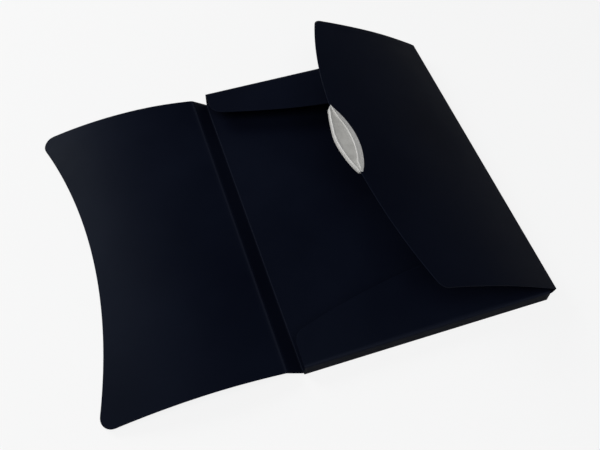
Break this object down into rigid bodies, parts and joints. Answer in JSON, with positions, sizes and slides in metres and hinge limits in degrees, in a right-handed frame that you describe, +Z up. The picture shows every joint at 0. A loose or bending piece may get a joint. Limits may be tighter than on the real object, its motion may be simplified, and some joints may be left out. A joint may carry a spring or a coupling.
{
  "type": "three-flap folder",
  "caption": "Open document folder of dark plastic sheet with folded-in top and bottom flaps, a raised side flap with a lens-shaped clip, and a front cover on a creased spine.",
  "frame": {"origin": "middle of the base panel's underside, which lies on the table", "axes": "+X from the spine to the side flap, +Y to the top flap, +Z up from the table"},
  "size_m": [0.4042, 0.32, 0.1023],
  "materials": {
    "sheet": "satin, finely grained, slightly translucent",
    "clip": "smooth, milky translucent"
  },
  "bodies": {
    "base": {"base_tray": "sheet"},
    "spine": {"spine_band": "sheet"},
    "cover": {"front_cover": "sheet"},
    "flap": {"side_flap": "sheet", "closure_clip": "clip"}
  },
  "joints": [
    {"name": "spine_hinge", "type": "hinge", "parent": "base", "child": "spine", "pos_m": [-0.1177, 0, 0.0004], "axis": [0, 1, 0], "range_deg": [0, 54]},
    {"name": "cover_hinge", "type": "hinge", "parent": "spine", "child": "cover", "pos_m": [-0.13234, 0, 0.01104], "axis": [0, 1, 0], "range_deg": [0, 76]},
    {"name": "side_flap_hinge", "type": "hinge", "parent": "base", "child": "flap", "pos_m": [0.1166, 0, 0.0165], "axis": [0, 1, 0], "range_deg": [-22, 150]}
  ]
}
